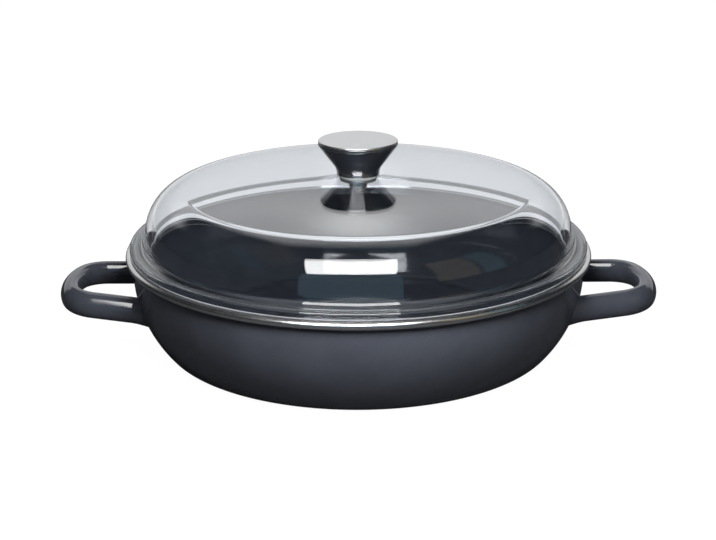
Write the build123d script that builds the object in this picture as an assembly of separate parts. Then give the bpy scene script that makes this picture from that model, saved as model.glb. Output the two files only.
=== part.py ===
from build123d import *
import os
from math import atan2, cos, degrees, radians, sin, sqrt

# A round enamelled braiser with two loop handles and a domed glass lid.
# Millimetres. +Z is up, the origin is the middle of the flat base, and the
# handles lie along X. Everything round is turned about the Z axis.

# Pan: one pressed sheet, enamelled inside and out
PAN_RADIUS = 141.7
PAN_HEIGHT = 63.3
PAN_WALL = 2.6
SIDE_REACH = 26.7
CORNER_RADIUS = 12.2
STRAIGHT_SIDE = 7.1
LIP_REACH = 4.3
LIP_HEIGHT = 2.7
LIP_FILLET = 1.0
LIP_EDGE_SHARE = 0.48
LIP_INNER_ROUND = 1.2

# Steel band that is folded over the pan's lip, each bend in a number of flats
BAND_SHEET = 0.8
BAND_GAP = 0.25
BAND_SETBACK = 0.2
BAND_HEM_GAP = 0.5
BEND_FLATS = 4

# Loop handles: an oval tube, closed by a foot at each end
HANDLE_HEIGHT = 32.3
HANDLE_SPREAD = 37.8
HANDLE_REACH = 49.0
HANDLE_TIP_RADIUS = 58.0
HANDLE_BEND_RADIUS = 20.0
HANDLE_TAPER = 10.5
HANDLE_SLOPE = 3.7
TUBE_HALF_HEIGHT = 8.1
TUBE_HALF_WIDTH = 6.1
TUBE_LEAN = 16.0
TUBE_WALL = 1.5
VENT_RADIUS = 1.0
VENT_PLACE = 18.0
FOOT_LENGTH = 4.6
FOOT_NECK = 3.0
FOOT_FLARE = 2.0
FOOT_ROOT = 9.0
SPIGOT_LENGTH = 9.0
SPIGOT_CLEARANCE = 0.08

# Lid: one piece of pressed glass
GLASS = 4.0
FLANGE_SETBACK = 2.7
FLANGE_WIDTH = 8.6
FLANGE_HEIGHT = 4.9
FLANGE_ROUND = 1.7
DOME_RISE = 40.4
DOME_LEAN = 9.0
DOME_FILLET = 4.5
SHOULDER_RADIUS = 27.3
CROWN_RADIUS = 720.0
SEAT_MARGIN = 1.6
LOCATING_DEPTH = 4.0
LOCATING_CLEARANCE = 1.0
LOCATING_ROUND = 1.4
HOLE_RADIUS = 5.0

# Knob: a flared steel shell with a flat cap and a threaded insert
KNOB_HEIGHT = 21.6
KNOB_BASE_RADIUS = 13.4
KNOB_RIM_RADIUS = 24.7
KNOB_RIM_HEIGHT = 3.1
KNOB_FOOT = 0.8
KNOB_FLARE = 8.0
KNOB_SHEET = 1.0
CAP_SHEET = 1.4
CAP_EDGE = 0.8
CAP_SPIGOT = 0.9
CAP_CLEARANCE = 0.08
INSERT_FLANGE_RADIUS = 9.0
INSERT_FLANGE = 2.0
INSERT_RADIUS = 5.5
INSERT_END = 2.0
INSERT_BORE_SPARE = 2.5

# Fasteners and seals between the knob and the glass
SCREW_RADIUS = 3.0
THREAD_CLEARANCE = 0.05
SCREW_CLEARANCE = 0.3
SCREW_GRIP = 8.5
SCREW_HEAD_RADIUS = 5.6
SCREW_HEAD_HEIGHT = 3.4
SCREW_HEAD_ROUND = 1.2
SCREW_SLOT_LENGTH = 6.4
SCREW_SLOT_WIDTH = 1.0
SCREW_SLOT_DEPTH = 1.6
KNOB_SEAL = 0.8
KNOB_SEAL_INSET = 0.6
BUSH_CLEARANCE = 0.08
INNER_SEAL = 1.2
WASHER_SHEET = 1.0
WASHER_RADIUS = 11.5
WASHER_HEM_GAP = 0.7
SPRING_RADIUS = 5.4
SPRING_THICKNESS = 1.5
SPRING_SPLIT = 1.0

# How far a cutting shape runs past what it cuts
OVERRUN = 5.0

# Radii that line up with the pan's and the knob's
BASE_RADIUS = PAN_RADIUS - SIDE_REACH
PAN_INSIDE = PAN_RADIUS - PAN_WALL
RIM_RADIUS = PAN_RADIUS + LIP_REACH
LIP_EDGE = LIP_EDGE_SHARE * LIP_HEIGHT
FLANGE_RADIUS = RIM_RADIUS - FLANGE_SETBACK
DOME_RADIUS = FLANGE_RADIUS - FLANGE_WIDTH
SEAT_RADIUS = KNOB_BASE_RADIUS + SEAT_MARGIN
SCREW_HOLE = SCREW_RADIUS + SCREW_CLEARANCE

# Levels, from the table up
BAND_HEIGHT = LIP_HEIGHT + 2 * (BAND_SHEET + BAND_GAP)
LIP_TOP = PAN_HEIGHT - BAND_SHEET - BAND_GAP
LIP_BOTTOM = LIP_TOP - LIP_HEIGHT
SIDE_TOP = LIP_BOTTOM - LIP_FILLET - STRAIGHT_SIDE
FLANGE_TOP = PAN_HEIGHT + FLANGE_HEIGHT
GLASS_TOP = FLANGE_TOP + DOME_RISE
GLASS_UNDER = GLASS_TOP - GLASS
KNOB_BOTTOM = GLASS_TOP + KNOB_SEAL
KNOB_TOP = KNOB_BOTTOM + KNOB_HEIGHT
CAP_BOTTOM = KNOB_TOP - CAP_SHEET
INSERT_BOTTOM = KNOB_BOTTOM + KNOB_SHEET
INNER_SEAL_BOTTOM = GLASS_UNDER - INNER_SEAL
WASHER_BOTTOM = INNER_SEAL_BOTTOM - WASHER_SHEET
SPRING_BOTTOM = WASHER_BOTTOM - SPRING_THICKNESS

# The side is one arc that leaves the corner arc and ends upright at SIDE_TOP
SIDE_CLIMB = SIDE_TOP - CORNER_RADIUS
SIDE_RADIUS = (SIDE_REACH**2 + SIDE_CLIMB**2 - CORNER_RADIUS**2) / (2 * (SIDE_REACH - CORNER_RADIUS))
SIDE_CENTRE = Vector(PAN_RADIUS - SIDE_RADIUS, SIDE_TOP)
CORNER_CENTRE = Vector(BASE_RADIUS, CORNER_RADIUS)


def on_circle(centre, radius, angle):
    """Point of a circle at an angle in degrees."""
    return centre + Vector(cos(radians(angle)), sin(radians(angle))) * radius


def arc(centre, radius, start, end):
    """Arc of a circle between two angles in degrees."""
    middle = on_circle(centre, radius, (start + end) / 2)
    return ThreePointArc(on_circle(centre, radius, start), middle, on_circle(centre, radius, end))


def bend(centre, radius, start, end):
    """Points of a bend that is folded in equal flats, between two angles in degrees."""
    turn = (end - start) / BEND_FLATS
    return [on_circle(centre, radius, start + turn * step) for step in range(BEND_FLATS + 1)]


def nested_centre(start, direction, big_centre, big_radius, radius):
    """Centre, on a line, of the circle that touches a bigger circle from inside."""
    offset = start - big_centre
    along = offset.dot(direction)
    reach = (big_radius - radius) ** 2 - offset.dot(offset)
    return start + direction * (sqrt(along**2 + reach) - along)


def rounded(face, corners):
    """The face with the corner nearest each point rounded to its radius."""
    for point, radius in corners:
        corner = min(face.vertices(), key=lambda vertex: (Vector(*vertex) - point).length)
        face = fillet(corner, radius)
    return face


def turned(face):
    """Solid turned about the Z axis from a face of radius and height."""
    return revolve(Plane.XZ * face, Axis.Z)


def ring(inner, outer, bottom, top, rounding=0):
    """Flat ring, with its outer edges rounded if a radius is given."""
    low, high = Vector(outer, bottom), Vector(outer, top)
    face = make_face(Polyline(Vector(inner, bottom), low, high, Vector(inner, top), close=True))
    return turned(rounded(face, [(low, rounding), (high, rounding)]) if rounding else face)


def side_line(wall):
    """Corner arc and side arc of the pan, a wall's thickness inside its outer face."""
    turn = degrees(atan2(CORNER_CENTRE.Y - SIDE_CENTRE.Y, CORNER_CENTRE.X - SIDE_CENTRE.X))
    corner = arc(CORNER_CENTRE, CORNER_RADIUS - wall, -90, turn)
    return [corner, arc(SIDE_CENTRE, SIDE_RADIUS - wall, turn, 0)]


def pan_envelope():
    """The pan's outer shape up to the straight side, filled."""
    top, middle = Vector(PAN_RADIUS, LIP_BOTTOM), Vector(0, LIP_BOTTOM)
    edges = [Line(Vector(0, 0), Vector(BASE_RADIUS, 0)), *side_line(0)]
    edges += [Polyline(Vector(PAN_RADIUS, SIDE_TOP), top, middle, Vector(0, 0))]
    return turned(make_face(edges))


def pan_body():
    """Pressed pan: flat base, curved side, short straight wall and outward lip."""
    lip_radius = RIM_RADIUS - BAND_SHEET - BAND_GAP
    neck = Vector(PAN_RADIUS, LIP_BOTTOM)
    low_edge, high_edge = Vector(lip_radius, LIP_BOTTOM), Vector(lip_radius, LIP_TOP)
    mouth = Vector(PAN_INSIDE, LIP_TOP)
    edges = [Line(Vector(0, 0), Vector(BASE_RADIUS, 0)), *side_line(0)]
    edges += [Polyline(Vector(PAN_RADIUS, SIDE_TOP), neck, low_edge, high_edge, mouth,
                       Vector(PAN_INSIDE, SIDE_TOP))]
    edges += side_line(PAN_WALL)
    edges += [Polyline(Vector(BASE_RADIUS, PAN_WALL), Vector(0, PAN_WALL), Vector(0, 0))]
    corners = [(neck, LIP_FILLET), (low_edge, LIP_EDGE), (high_edge, LIP_EDGE), (mouth, LIP_INNER_ROUND)]
    return turned(rounded(make_face(edges), corners))


def rim_band():
    """Steel channel, open inwards, that wraps the pan's lip from above and below."""
    bottom = PAN_HEIGHT - BAND_HEIGHT
    mouth = PAN_INSIDE + LIP_INNER_ROUND + BAND_SETBACK
    hem = PAN_RADIUS + LIP_FILLET + BAND_HEM_GAP
    outer_round = LIP_EDGE + BAND_GAP + BAND_SHEET
    inner_round = LIP_EDGE + BAND_GAP
    low_bend = Vector(RIM_RADIUS - outer_round, bottom + outer_round)
    high_bend = Vector(RIM_RADIUS - outer_round, PAN_HEIGHT - outer_round)
    outside = bend(low_bend, outer_round, -90, 0) + bend(high_bend, outer_round, 0, 90)
    inside = bend(high_bend, inner_round, 90, 0) + bend(low_bend, inner_round, 0, -90)
    top_edge = [Vector(mouth, PAN_HEIGHT), Vector(mouth, PAN_HEIGHT - BAND_SHEET)]
    bottom_edge = [Vector(hem, bottom + BAND_SHEET), Vector(hem, bottom)]
    return turned(make_face(Polyline(*outside, *top_edge, *inside, *bottom_edge, close=True)))


def handle_plane():
    """Plane of the right handle's centre line: x along its slope, from where it meets the wall."""
    wall_radius = SIDE_CENTRE.X + sqrt(SIDE_RADIUS**2 - (SIDE_TOP - HANDLE_HEIGHT) ** 2)
    root = sqrt(wall_radius**2 - HANDLE_SPREAD**2)
    slope = radians(HANDLE_SLOPE)
    return Plane(origin=(root, 0, HANDLE_HEIGHT), x_dir=(cos(slope), 0, sin(slope)),
                 z_dir=(-sin(slope), 0, cos(slope)))


def arm_line(side):
    """Start of an arm's centre line at the wall, and its way outwards."""
    taper = radians(HANDLE_TAPER)
    return Vector(0, side * HANDLE_SPREAD), Vector(cos(taper), -side * sin(taper))


def handle_line():
    """Centre line of the tube: arm, bend, broad tip, bend, arm."""
    root, way = arm_line(1)
    inwards = Vector(way.Y, -way.X)
    tip_centre = Vector(HANDLE_REACH - HANDLE_TIP_RADIUS, 0)
    bend = nested_centre(root + inwards * HANDLE_BEND_RADIUS, way, tip_centre,
                         HANDLE_TIP_RADIUS, HANDLE_BEND_RADIUS)
    tip_half = degrees(atan2(bend.Y, bend.X - tip_centre.X))
    arm_end = 90 - HANDLE_TAPER
    mirrored = Vector(bend.X, -bend.Y)
    start = root + way * FOOT_LENGTH
    front_start = Vector(start.X, -start.Y)
    return Wire([
        Line(front_start, on_circle(mirrored, HANDLE_BEND_RADIUS, -arm_end)),
        arc(mirrored, HANDLE_BEND_RADIUS, -arm_end, -tip_half),
        arc(tip_centre, HANDLE_TIP_RADIUS, -tip_half, tip_half),
        arc(bend, HANDLE_BEND_RADIUS, tip_half, arm_end),
        Line(on_circle(bend, HANDLE_BEND_RADIUS, arm_end), start)])


def oval(side, distance, growth):
    """Leaning oval across an arm, grown all round, at a distance from the wall along it."""
    root, way = arm_line(side)
    inwards = Vector(way.Y, -way.X) * side
    place = Plane(origin=root + way * distance, x_dir=inwards, z_dir=way * -side)
    return place * Ellipse(TUBE_HALF_WIDTH + growth, TUBE_HALF_HEIGHT + growth, rotation=-TUBE_LEAN)


def right_handle():
    """Oval tube bent to a loop, open at its ends, with a vent hole underneath."""
    path = handle_line()
    start = oval(-1, FOOT_LENGTH, 0)
    tube = sweep(start, path=path) - sweep(oval(-1, FOOT_LENGTH, -TUBE_WALL), path=path)
    root, way = arm_line(1)
    drill = Cylinder(VENT_RADIUS, TUBE_HALF_HEIGHT + OVERRUN, align=(Align.CENTER, Align.CENTER, Align.MAX))
    tube -= Pos(root + way * VENT_PLACE) * drill
    return handle_plane() * tube - pan_envelope()


def right_foot(side):
    """Foot that joins an arm to the wall: a flared neck, and a spigot inside the tube."""
    sections = [oval(side, -FOOT_ROOT, FOOT_FLARE), oval(side, FOOT_LENGTH - FOOT_NECK, FOOT_FLARE / 4)]
    neck = loft([*sections, oval(side, FOOT_LENGTH, 0)])
    root, way = arm_line(side)
    spigot = extrude(oval(side, FOOT_LENGTH, -TUBE_WALL - SPIGOT_CLEARANCE), SPIGOT_LENGTH, dir=way)
    return handle_plane() * (neck + spigot) - pan_envelope()


def lid_glass():
    """Pressed glass lid: locating ring, flange, leaning side, shoulder and crown."""
    lean = radians(DOME_LEAN)
    up_the_side = Vector(-sin(lean), cos(lean))
    foot = Vector(DOME_RADIUS, FLANGE_TOP)
    crown_centre = Vector(SEAT_RADIUS, GLASS_TOP - CROWN_RADIUS)
    shoulder_start = foot + Vector(-cos(lean), -sin(lean)) * SHOULDER_RADIUS
    shoulder = nested_centre(shoulder_start, up_the_side, crown_centre, CROWN_RADIUS, SHOULDER_RADIUS)
    turn = degrees(atan2(shoulder.Y - crown_centre.Y, shoulder.X - crown_centre.X))
    ring_radius = PAN_INSIDE - LOCATING_CLEARANCE
    ring_bottom = PAN_HEIGHT - LOCATING_DEPTH
    inner_start = on_circle(shoulder, SHOULDER_RADIUS - GLASS, DOME_LEAN)
    inner_bottom = inner_start - up_the_side * ((inner_start.Y - ring_bottom) / up_the_side.Y)
    ring_edge, ring_top = Vector(ring_radius, ring_bottom), Vector(ring_radius, PAN_HEIGHT)
    low_edge, high_edge = Vector(FLANGE_RADIUS, PAN_HEIGHT), Vector(FLANGE_RADIUS, FLANGE_TOP)
    side_end = on_circle(shoulder, SHOULDER_RADIUS, DOME_LEAN)
    face = make_face([
        Polyline(inner_start, inner_bottom, ring_edge, ring_top, low_edge, high_edge, foot, side_end),
        arc(shoulder, SHOULDER_RADIUS, DOME_LEAN, turn), arc(crown_centre, CROWN_RADIUS, turn, 90),
        Polyline(Vector(SEAT_RADIUS, GLASS_TOP), Vector(HOLE_RADIUS, GLASS_TOP),
                 Vector(HOLE_RADIUS, GLASS_UNDER), Vector(SEAT_RADIUS, GLASS_UNDER)),
        arc(crown_centre, CROWN_RADIUS - GLASS, 90, turn),
        arc(shoulder, SHOULDER_RADIUS - GLASS, turn, DOME_LEAN)])
    corners = [(inner_bottom, LOCATING_ROUND), (ring_edge, LOCATING_ROUND), (foot, DOME_FILLET)]
    corners += [(low_edge, FLANGE_ROUND), (high_edge, FLANGE_ROUND)]
    return turned(rounded(face, corners))


def knob_flank(sheet):
    """Flared side of the knob, a sheet's thickness inside its outer face, from foot to rim."""
    centre = Vector(KNOB_BASE_RADIUS + KNOB_FLARE, KNOB_BOTTOM + KNOB_FOOT)
    reach = Vector(KNOB_RIM_RADIUS, KNOB_TOP - KNOB_RIM_HEIGHT) - centre
    tangent = sqrt(reach.dot(reach) - KNOB_FLARE**2)
    turn = degrees(atan2(reach.X, reach.Y) + atan2(KNOB_FLARE, tangent))
    flare = arc(centre, KNOB_FLARE + sheet, 180, 180 - turn)
    up_the_flank = Vector(sin(radians(turn)), cos(radians(turn)))
    flare_end = on_circle(centre, KNOB_FLARE + sheet, 180 - turn)
    rim = flare_end + up_the_flank * ((KNOB_RIM_RADIUS - sheet - flare_end.X) / up_the_flank.X)
    return flare, Line(flare_end, rim), rim


def knob_shell():
    """Flared sheet shell with a floor that the screw passes through."""
    flare, flank, rim = knob_flank(0)
    inner_flare, inner_flank, inner_rim = knob_flank(KNOB_SHEET)
    inner_radius = KNOB_BASE_RADIUS - KNOB_SHEET
    arc_start = KNOB_BOTTOM + KNOB_FOOT
    floor = KNOB_BOTTOM + KNOB_SHEET
    skin = make_face([
        Line(Vector(KNOB_BASE_RADIUS, KNOB_BOTTOM), Vector(KNOB_BASE_RADIUS, arc_start)), flare, flank,
        Polyline(rim, Vector(KNOB_RIM_RADIUS, CAP_BOTTOM), Vector(inner_rim.X, CAP_BOTTOM), inner_rim),
        inner_flank, inner_flare,
        Polyline(Vector(inner_radius, arc_start), Vector(inner_radius, KNOB_BOTTOM),
                 Vector(KNOB_BASE_RADIUS, KNOB_BOTTOM))])
    return turned(skin) + ring(SCREW_HOLE, inner_radius + KNOB_SHEET / 2, KNOB_BOTTOM, floor)


def knob_cap():
    """Flat cap of the knob, stepped to centre in the shell's rim."""
    edge = Vector(KNOB_RIM_RADIUS, KNOB_TOP)
    step = KNOB_RIM_RADIUS - KNOB_SHEET - CAP_CLEARANCE
    step_bottom = CAP_BOTTOM - CAP_SPIGOT
    face = make_face(Polyline(
        Vector(0, step_bottom), Vector(step, step_bottom), Vector(step, CAP_BOTTOM),
        Vector(KNOB_RIM_RADIUS, CAP_BOTTOM), edge, Vector(0, KNOB_TOP), close=True))
    return turned(rounded(face, [(edge, CAP_EDGE)]))


def knob_insert():
    """Threaded bush with a flange, fixed to the shell's floor, with a blind bore."""
    flange = ring(0, INSERT_FLANGE_RADIUS, INSERT_BOTTOM, INSERT_BOTTOM + INSERT_FLANGE)
    bore_end = INSERT_BOTTOM + SCREW_GRIP + INSERT_BORE_SPARE
    boss = ring(0, INSERT_RADIUS, INSERT_BOTTOM, bore_end + INSERT_END)
    return flange + boss - ring(0, SCREW_RADIUS + THREAD_CLEARANCE, INSERT_BOTTOM, bore_end)


def inner_washer():
    """Dished steel washer, with its hem turned up round the seal."""
    inside = WASHER_RADIUS - WASHER_SHEET
    plate = ring(SCREW_HOLE, WASHER_RADIUS, WASHER_BOTTOM, INNER_SEAL_BOTTOM)
    return plate + ring(inside, WASHER_RADIUS, WASHER_BOTTOM, GLASS_UNDER - WASHER_HEM_GAP)


def spring_washer():
    """Split ring under the screw's head."""
    body = ring(SCREW_HOLE, SPRING_RADIUS, SPRING_BOTTOM, WASHER_BOTTOM)
    split = Box(SPRING_RADIUS + OVERRUN, SPRING_SPLIT, SPRING_THICKNESS + OVERRUN,
                align=(Align.MIN, Align.CENTER, Align.CENTER))
    return body - Pos(0, 0, SPRING_BOTTOM + SPRING_THICKNESS / 2) * split


def knob_screw():
    """Pan-head screw with a crossed slot, up through the lid into the insert."""
    head_bottom = SPRING_BOTTOM - SCREW_HEAD_HEIGHT
    edge = Vector(SCREW_HEAD_RADIUS, head_bottom)
    head = make_face(Polyline(
        Vector(0, head_bottom), edge, Vector(SCREW_HEAD_RADIUS, SPRING_BOTTOM),
        Vector(0, SPRING_BOTTOM), close=True))
    shank = ring(0, SCREW_RADIUS, SPRING_BOTTOM, INSERT_BOTTOM + SCREW_GRIP)
    screw = turned(rounded(head, [(edge, SCREW_HEAD_ROUND)])) + shank
    slot = Pos(0, 0, head_bottom) * Box(SCREW_SLOT_LENGTH, SCREW_SLOT_WIDTH, 2 * SCREW_SLOT_DEPTH)
    return screw - slot - Rot(0, 0, 90) * slot


def nodes():
    """Every separate piece, by name."""
    pieces = {"pan_body": pan_body(), "rim_band": rim_band(), "right_handle": right_handle()}
    pieces["right_front_foot"] = right_foot(-1)
    pieces["right_back_foot"] = right_foot(1)
    for name in [name for name in pieces if name.startswith("right")]:
        pieces[name.replace("right", "left")] = mirror(pieces[name], Plane.YZ)
    bush_radius = HOLE_RADIUS - BUSH_CLEARANCE
    knob_seal_radius = KNOB_BASE_RADIUS - KNOB_SEAL_INSET
    inner_seal_radius = WASHER_RADIUS - WASHER_SHEET - BUSH_CLEARANCE
    pieces["lid_glass"] = lid_glass()
    pieces["knob_seal"] = ring(SCREW_HOLE, knob_seal_radius, GLASS_TOP, KNOB_BOTTOM)
    pieces["glass_bush"] = ring(SCREW_HOLE, bush_radius, GLASS_UNDER, GLASS_TOP)
    pieces["inner_seal"] = ring(SCREW_HOLE, inner_seal_radius, INNER_SEAL_BOTTOM, GLASS_UNDER)
    pieces["inner_washer"] = inner_washer()
    pieces["spring_washer"] = spring_washer()
    pieces["knob_screw"] = knob_screw()
    pieces["knob_shell"] = knob_shell()
    pieces["knob_cap"] = knob_cap()
    pieces["knob_insert"] = knob_insert()
    return pieces


os.makedirs("parts", exist_ok=True)
for name, solid in nodes().items():
    export_step(solid, f"parts/{name}.step")
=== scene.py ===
# %% [markdown]
# # A braiser with a glass lid
# The pan is a shallow enamelled dish with a steel band over its rim, two loop
# handles and a domed glass lid with a flared steel knob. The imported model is
# the measured skeleton: every piece made here lies where its node lies, in
# metres, with +Z up, the base on z = 0 and the handles along X. The looks are
# built around it: smooth surfaces, glass, enamel, steel and a studio.

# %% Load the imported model
import bpy
import numpy as np
from math import atan2, cos, degrees, pi, radians, sin, sqrt
from mathutils import Matrix, Vector


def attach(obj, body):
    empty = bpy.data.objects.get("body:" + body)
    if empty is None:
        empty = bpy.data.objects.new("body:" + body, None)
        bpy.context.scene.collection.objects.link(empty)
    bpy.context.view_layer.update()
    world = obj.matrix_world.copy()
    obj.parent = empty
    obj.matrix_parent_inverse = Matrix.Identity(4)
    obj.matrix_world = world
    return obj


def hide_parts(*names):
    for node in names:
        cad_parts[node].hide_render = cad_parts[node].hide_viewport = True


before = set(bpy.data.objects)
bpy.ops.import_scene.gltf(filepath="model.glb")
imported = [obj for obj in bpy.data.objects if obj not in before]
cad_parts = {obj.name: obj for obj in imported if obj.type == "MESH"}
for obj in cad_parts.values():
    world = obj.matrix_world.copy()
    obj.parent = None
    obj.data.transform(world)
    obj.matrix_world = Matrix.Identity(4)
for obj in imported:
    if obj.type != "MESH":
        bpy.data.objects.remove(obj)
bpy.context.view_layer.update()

scene = bpy.context.scene

# %% [markdown]
# ## The camera
# A long lens about a metre away looks down on the pan by eighteen degrees.
# These numbers were fitted to the rim, the lid and the base of the photograph,
# so that the render can be laid over it. The shift is half a pixel, and the
# small roll is the photographer's.

# %% Camera
VIEW_HEIGHT = 0.04588
VIEW_DISTANCE = 1.0
VIEW_DOWN = radians(18.28)
VIEW_ROLL = 0.004
FOCAL_PIXELS = 1571.6
IMAGE_WIDTH = 716
SHIFT_PIXELS = -0.5
SENSOR_WIDTH = 36.0

camera_data = bpy.data.cameras.new("camera")
camera = bpy.data.objects.new("camera", camera_data)
scene.collection.objects.link(camera)
scene.camera = camera
target = Vector((0.0, 0.0, VIEW_HEIGHT))
camera.location = target + Vector((0.0, -cos(VIEW_DOWN), sin(VIEW_DOWN))) * VIEW_DISTANCE
look = (target - camera.location).to_track_quat("-Z", "Y").to_matrix().to_4x4()
camera.rotation_euler = (look @ Matrix.Rotation(-VIEW_ROLL, 4, "Z")).to_euler()
camera_data.sensor_width = SENSOR_WIDTH
camera_data.lens = FOCAL_PIXELS / IMAGE_WIDTH * SENSOR_WIDTH
camera_data.shift_x = SHIFT_PIXELS / IMAGE_WIDTH
print("lens:", round(camera_data.lens, 2), "mm, from", tuple(round(v, 3) for v in camera.location))

# %% [markdown]
# ## Node helpers
# A material in Blender is a small graph. Four helpers keep the recipes below
# short: one adds a node and wires its inputs, one makes a piece of arithmetic,
# one turns a grey pattern into a range of values, and one blends two colours.

# %% Helpers for node graphs
def node(tree, kind, inputs=None, **settings):
    """A new node of a kind. Each input takes a socket, which is linked, or a plain value."""
    made = tree.nodes.new("ShaderNode" + kind)
    for name, value in settings.items():
        setattr(made, name, value)
    for name, value in (inputs or {}).items():
        if isinstance(value, bpy.types.NodeSocket):
            tree.links.new(value, made.inputs[name])
        else:
            made.inputs[name].default_value = value
    return made


def reckon(tree, operation, first, second=0.0, third=0.0):
    """The output of one Math node."""
    return node(tree, "Math", {0: first, 1: second, 2: third}, operation=operation).outputs[0]


def ranged(tree, value, low, high, to_low, to_high, smooth=False):
    """A value mapped from one range to another and kept inside it."""
    kind = "SMOOTHSTEP" if smooth else "LINEAR"
    return node(tree, "MapRange", {0: value, 1: low, 2: high, 3: to_low, 4: to_high},
                interpolation_type=kind, clamp=True).outputs[0]


def blend(tree, share, first, second):
    """A colour between two: the first where the share is 0, the second where it is 1."""
    return node(tree, "Mix", {0: share, 6: first, 7: second}, data_type="RGBA").outputs[2]


WHITE = (1.0, 1.0, 1.0, 1.0)
print("helpers: node, reckon, ranged, blend")

# %% [markdown]
# ## The studio
# The photograph is lit as a shop picture is: one large softbox in front and
# above, whose reflection is the white bar in the lid, a white backdrop behind,
# which the crown of the glass picks up at a low angle, and a dark room behind
# the camera. The world below is that room. A ray that comes straight from the
# camera, or straight through the glass, sees plain white; every other ray sees
# the backdrop and the room.
#
# Low down the backdrop is wide, which keeps the dome's edges light, and higher
# up it is a strip. A soft glow in the middle of it is the light patch in front
# of the knob. All limits are parts of a direction of length 1: X to the right,
# Y away from the camera, Z up.

# %% World: white to the eye, a backdrop and a dark room to everything else
ROOM = (0.020, 0.023, 0.027, 1.0)
BACKDROP = (0.70, 0.72, 0.74, 1.0)
OVERHEAD = (1.05, 1.06, 1.07, 1.0)
OVERHEAD_STARTS = (0.28, 0.42)
WIDE_EDGE = (-0.20, 0.10)
STRIP_MIDDLE = -0.04
STRIP_EDGE = (0.19, 0.31)
STRIP_DEPTH = (0.20, 0.42)
STRIP_STARTS = (0.42, 0.54)
GLOW, GLOW_HEIGHT, GLOW_RISE, GLOW_WIDTH = 1.1, 0.50, 0.075, 0.055
DIFFUSE_SHARE = 0.25

world = bpy.data.worlds.new("studio")
world.use_nodes = True
scene.world = world
tree = world.node_tree
tree.nodes.clear()
path = node(tree, "LightPath").outputs
bounced = reckon(tree, "ADD", path["Glossy Depth"], path["Diffuse Depth"])
indirect = reckon(tree, "GREATER_THAN", bounced, 0.5)
direction = node(tree, "SeparateXYZ", {0: node(tree, "TexCoord").outputs["Generated"]}).outputs

spread = reckon(tree, "SUBTRACT", direction["Y"], reckon(tree, "ABSOLUTE", direction["X"]))
wide = ranged(tree, spread, *WIDE_EDGE, 0.0, 1.0, smooth=True)
off_middle = reckon(tree, "ABSOLUTE", reckon(tree, "SUBTRACT", direction["X"], STRIP_MIDDLE))
strip = ranged(tree, off_middle, *STRIP_EDGE, 1.0, 0.0, smooth=True)
behind = ranged(tree, direction["Y"], *STRIP_DEPTH, 0.0, 1.0, smooth=True)
strip = reckon(tree, "MULTIPLY", strip, behind)
high = ranged(tree, direction["Z"], *STRIP_STARTS, 0.0, 1.0, smooth=True)
share = node(tree, "Mix", {0: high, 2: wide, 3: strip}, data_type="FLOAT").outputs[0]
above = ranged(tree, direction["Z"], *OVERHEAD_STARTS, 0.0, 1.0, smooth=True)
room = blend(tree, share, ROOM, blend(tree, above, BACKDROP, OVERHEAD))

# The glow is e to the power of -(x / width)^2 - ((z - height) / rise)^2.
across = reckon(tree, "DIVIDE", direction["X"], GLOW_WIDTH)
rise = reckon(tree, "DIVIDE", reckon(tree, "SUBTRACT", direction["Z"], GLOW_HEIGHT), GLOW_RISE)
squares = reckon(tree, "ADD", reckon(tree, "POWER", across, 2.0), reckon(tree, "POWER", rise, 2.0))
glow = reckon(tree, "EXPONENT", reckon(tree, "MULTIPLY", squares, -1.0))
glow = reckon(tree, "MULTIPLY", glow, reckon(tree, "GREATER_THAN", direction["Y"], 0.0))
glow = reckon(tree, "MULTIPLY", glow, GLOW)
grey = node(tree, "CombineXYZ", {0: glow, 1: glow, 2: glow}).outputs[0]
room = node(tree, "VectorMath", {0: room, 1: grey}, operation="ADD").outputs[0]

seen = blend(tree, indirect, WHITE, room)
matt = reckon(tree, "GREATER_THAN", path["Diffuse Depth"], 0.5)
strength = ranged(tree, matt, 0.0, 1.0, 1.0, DIFFUSE_SHARE)
background = node(tree, "Background", {"Color": seen, "Strength": strength})
node(tree, "OutputWorld", {"Surface": background.outputs[0]})
world.cycles.sampling_method = "NONE"
scene.view_settings.view_transform = "Standard"
print("world nodes:", len(tree.nodes))

# %% [markdown]
# ## The floor
# The pan stands on white paper. To the camera, also through the glass, the
# paper is nearly all plain white, with a small share of real shading that keeps
# a soft shadow under the pan. To the enamel, the steel and bounced light the
# paper is a dim grey instead: painted shade that stands in for the paper in the
# pan's shadow, as the dark foot of the pan in the photograph shows; the lamps
# still shade that grey for real. A ray that is thrown back inside the lid's
# glass has crossed two of its faces when it comes out: where it lands behind
# the pan, it sees white paper too.

# %% Floor
FLOOR_REACH = 4.0
SHADED_SHARE = 0.10
# Painted shade: the dim grey that reflections and bounced light see in place of the paper, standing
# in for the paper in the pan's shadow.
PAINTED_SHADE_PAPER = (0.050, 0.052, 0.056, 1.0)
PAPER = (0.86, 0.86, 0.86, 1.0)
PAPER_GLOW = 1.085
CROSSED_FACES = 2.0

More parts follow.
